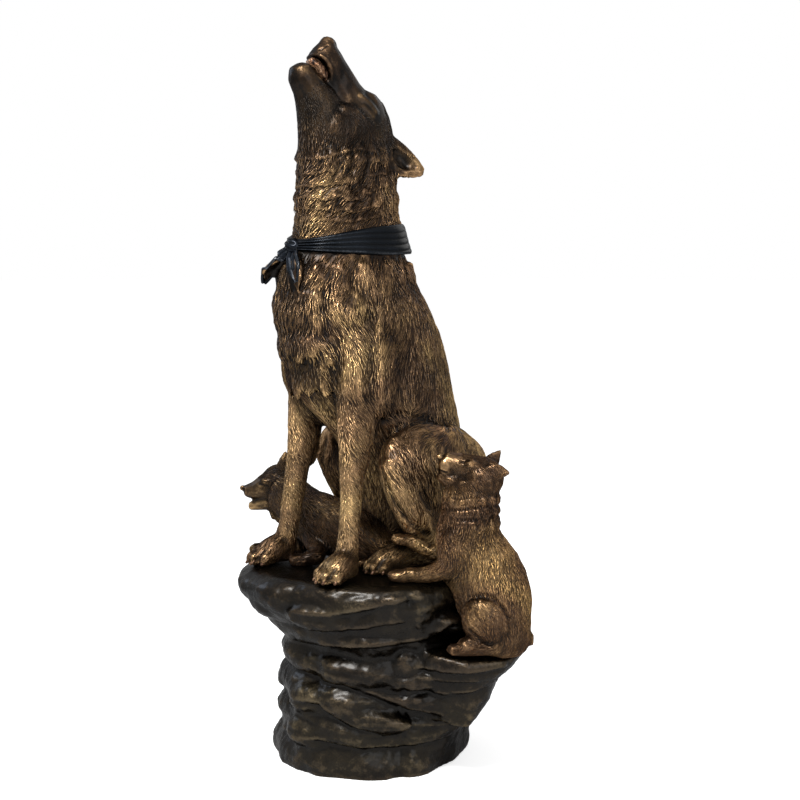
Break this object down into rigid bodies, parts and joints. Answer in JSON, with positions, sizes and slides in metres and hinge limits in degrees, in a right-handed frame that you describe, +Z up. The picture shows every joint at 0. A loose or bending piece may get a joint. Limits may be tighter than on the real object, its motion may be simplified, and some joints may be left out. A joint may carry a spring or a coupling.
{
  "type": "wolf figurine",
  "caption": "Bronze group: a seated wolf howling, in a knotted neckerchief, with pups beside it on a layered rock that stands flat on the ground.",
  "frame": {"origin": "middle of the rock's flat underside, on the ground", "axes": "+Z up, the wolf faces -Y, +X to the wolf's left, where the pup sits on the ledge"},
  "size_m": [0.7415, 0.6203, 1.6541],
  "materials": {
    "bronze_rock": "near-black brown patina, waxed to a soft gloss",
    "bronze_fur": "dark brown patina in the hollows, worn golden on the locks of fur",
    "bronze_pup": "brown patina, worn golden on the fur"
  },
  "bodies": {
    "root": {"rock_base": "bronze_rock", "wolf": "bronze_fur", "sitting_pup": "bronze_pup", "lying_pup": "bronze_pup"}
  },
  "joints": []
}
